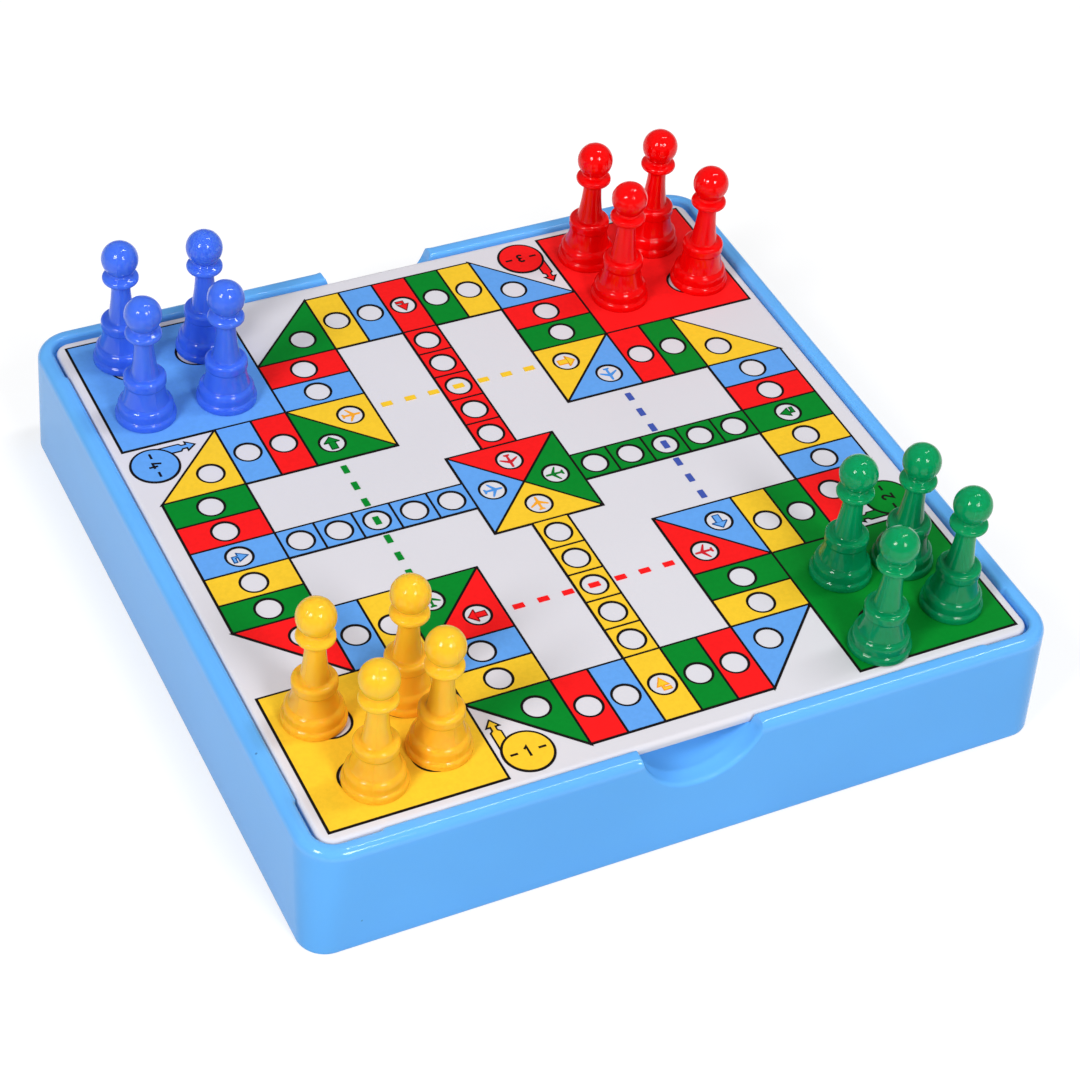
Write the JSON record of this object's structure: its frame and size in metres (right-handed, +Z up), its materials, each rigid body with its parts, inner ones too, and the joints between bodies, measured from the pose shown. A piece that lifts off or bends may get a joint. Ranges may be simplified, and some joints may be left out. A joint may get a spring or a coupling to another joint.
{
  "type": "travel ludo set",
  "caption": "Travel ludo set: a shallow moulded box with finger scoops, a printed lift-out board as its lid, storage under it, and turned-look pawns standing in the corners.",
  "frame": {"origin": "middle of the underside of the box", "axes": "+X along the front edge from the yellow to the green corner, +Y from the front to the back, +Z up out of the board"},
  "size_m": [0.165, 0.165, 0.0587],
  "materials": {
    "box_plastic": "injection moulded, smooth gloss",
    "board_plastic": "smooth satin white sheet",
    "ink_black": "screen-printed ink, satin",
    "ink_yellow": "screen-printed ink, satin",
    "ink_green": "screen-printed ink, satin",
    "ink_red": "screen-printed ink, satin",
    "ink_blue": "screen-printed ink, satin",
    "pawn_yellow": "injection moulded, high gloss, slightly translucent",
    "pawn_green": "injection moulded, high gloss, slightly translucent",
    "pawn_red": "injection moulded, high gloss, slightly translucent",
    "pawn_blue": "injection moulded, high gloss, slightly translucent",
    "die_plastic": "moulded, gloss"
  },
  "bodies": {
    "box": {"tray": "box_plastic"},
    "board": {"board": "board_plastic", "print_black": "ink_black", "print_yellow": "ink_yellow", "print_green": "ink_green", "print_red": "ink_red", "print_blue": "ink_blue"},
    "yellow_pawn_1": {"yellow_pawn_1": "pawn_yellow"},
    "yellow_pawn_2": {"yellow_pawn_2": "pawn_yellow"},
    "yellow_pawn_3": {"yellow_pawn_3": "pawn_yellow"},
    "yellow_pawn_4": {"yellow_pawn_4": "pawn_yellow"},
    "green_pawn_1": {"green_pawn_1": "pawn_green"},
    "green_pawn_2": {"green_pawn_2": "pawn_green"},
    "green_pawn_3": {"green_pawn_3": "pawn_green"},
    "green_pawn_4": {"green_pawn_4": "pawn_green"},
    "red_pawn_1": {"red_pawn_1": "pawn_red"},
    "red_pawn_2": {"red_pawn_2": "pawn_red"},
    "red_pawn_3": {"red_pawn_3": "pawn_red"},
    "red_pawn_4": {"red_pawn_4": "pawn_red"},
    "blue_pawn_1": {"blue_pawn_1": "pawn_blue"},
    "blue_pawn_2": {"blue_pawn_2": "pawn_blue"},
    "blue_pawn_3": {"blue_pawn_3": "pawn_blue"},
    "blue_pawn_4": {"blue_pawn_4": "pawn_blue"},
    "die": {"die": "die_plastic"}
  },
  "joints": [
    {"name": "board_lift", "type": "slide", "parent": "box", "child": "board", "axis": [0, 0, 1], "range_m": [0, 0.06]},
    {"name": "yellow_pawn_1_lift", "type": "slide", "parent": "board", "child": "yellow_pawn_1", "axis": [0, 0, 1], "range_m": [0, 0.04]},
    {"name": "yellow_pawn_2_lift", "type": "slide", "parent": "board", "child": "yellow_pawn_2", "axis": [0, 0, 1], "range_m": [0, 0.04]},
    {"name": "yellow_pawn_3_lift", "type": "slide", "parent": "board", "child": "yellow_pawn_3", "axis": [0, 0, 1], "range_m": [0, 0.04]},
    {"name": "yellow_pawn_4_lift", "type": "slide", "parent": "board", "child": "yellow_pawn_4", "axis": [0, 0, 1], "range_m": [0, 0.04]},
    {"name": "green_pawn_1_lift", "type": "slide", "parent": "board", "child": "green_pawn_1", "axis": [0, 0, 1], "range_m": [0, 0.04]},
    {"name": "green_pawn_2_lift", "type": "slide", "parent": "board", "child": "green_pawn_2", "axis": [0, 0, 1], "range_m": [0, 0.04]},
    {"name": "green_pawn_3_lift", "type": "slide", "parent": "board", "child": "green_pawn_3", "axis": [0, 0, 1], "range_m": [0, 0.04]},
    {"name": "green_pawn_4_lift", "type": "slide", "parent": "board", "child": "green_pawn_4", "axis": [0, 0, 1], "range_m": [0, 0.04]},
    {"name": "red_pawn_1_lift", "type": "slide", "parent": "board", "child": "red_pawn_1", "axis": [0, 0, 1], "range_m": [0, 0.04]},
    {"name": "red_pawn_2_lift", "type": "slide", "parent": "board", "child": "red_pawn_2", "axis": [0, 0, 1], "range_m": [0, 0.04]},
    {"name": "red_pawn_3_lift", "type": "slide", "parent": "board", "child": "red_pawn_3", "axis": [0, 0, 1], "range_m": [0, 0.04]},
    {"name": "red_pawn_4_lift", "type": "slide", "parent": "board", "child": "red_pawn_4", "axis": [0, 0, 1], "range_m": [0, 0.04]},
    {"name": "blue_pawn_1_lift", "type": "slide", "parent": "board", "child": "blue_pawn_1", "axis": [0, 0, 1], "range_m": [0, 0.04]},
    {"name": "blue_pawn_2_lift", "type": "slide", "parent": "board", "child": "blue_pawn_2", "axis": [0, 0, 1], "range_m": [0, 0.04]},
    {"name": "blue_pawn_3_lift", "type": "slide", "parent": "board", "child": "blue_pawn_3", "axis": [0, 0, 1], "range_m": [0, 0.04]},
    {"name": "blue_pawn_4_lift", "type": "slide", "parent": "board", "child": "blue_pawn_4", "axis": [0, 0, 1], "range_m": [0, 0.04]},
    {"name": "die_slide", "type": "slide", "parent": "box", "child": "die", "axis": [1, 0, 0], "range_m": [0, 0.136]}
  ]
}
